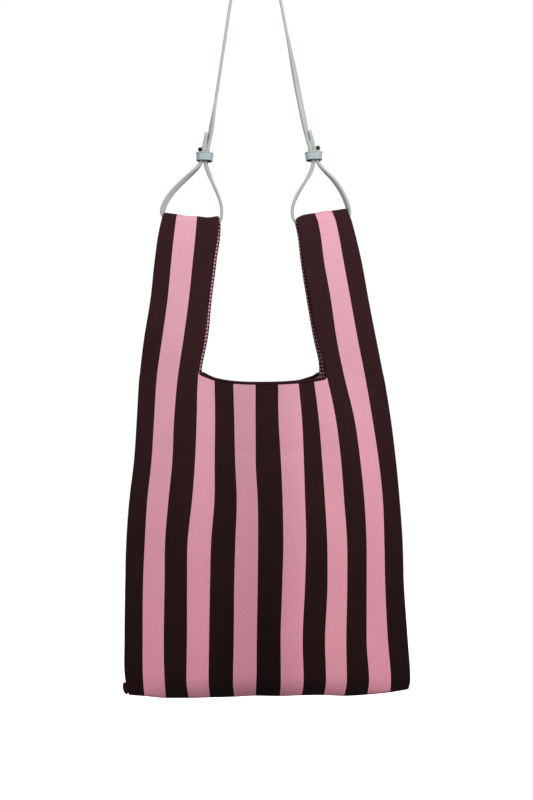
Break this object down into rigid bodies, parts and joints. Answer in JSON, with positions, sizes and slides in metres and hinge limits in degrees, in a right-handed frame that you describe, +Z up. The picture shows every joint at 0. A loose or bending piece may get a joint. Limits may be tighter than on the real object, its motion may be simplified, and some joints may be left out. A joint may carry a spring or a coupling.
{
  "type": "knitted carrier tote bag",
  "caption": "Flat knitted tote in a carrier-bag outline, with vertical stripes, hung from a slim leather shoulder strap through both handle bands, with leather keepers and ball studs.",
  "frame": {"origin": "on the axis of the peg, hook or rail that the top of the shoulder strap is bent round", "axes": "+Z up, the bag's front faces -Y, +X to the right seen from the front"},
  "size_m": [0.3036, 0.0468, 0.834],
  "materials": {
    "striped_knit": "knitted jacquard, dark brown and dusty pink stripes",
    "dark_knit": "dark brown knit",
    "strap_leather": "smooth pale grey leather",
    "keeper_leather": "smooth pale blue-grey leather with creased rims",
    "stud_brass": "polished"
  },
  "bodies": {
    "strap": {"shoulder_strap": "strap_leather", "left_stud": "stud_brass", "right_stud": "stud_brass", "left_stud_screw": "stud_brass", "right_stud_screw": "stud_brass"},
    "bag": {"front_panel": "striped_knit", "back_panel": "striped_knit", "front_neck_binding": "dark_knit", "back_neck_binding": "dark_knit", "left_side_seam": "dark_knit", "right_side_seam": "dark_knit", "bottom_seam": "striped_knit", "corner_tab": "dark_knit", "left_handle_top_seam": "striped_knit", "right_handle_top_seam": "striped_knit"},
    "left_keeper": {"left_keeper": "keeper_leather"},
    "right_keeper": {"right_keeper": "keeper_leather"}
  },
  "joints": [
    {"name": "bag_swing", "type": "hinge", "parent": "strap", "child": "bag", "pos_m": [0, 0, -0.321], "axis": [1, 0, 0], "range_deg": [-75, 75]},
    {"name": "left_keeper_slide", "type": "slide", "parent": "strap", "child": "left_keeper", "axis": [0.1822, 0, 0.9833], "range_m": [0, 0.018]},
    {"name": "right_keeper_slide", "type": "slide", "parent": "strap", "child": "right_keeper", "axis": [-0.2504, 0, 0.9681], "range_m": [0, 0.018]}
  ]
}
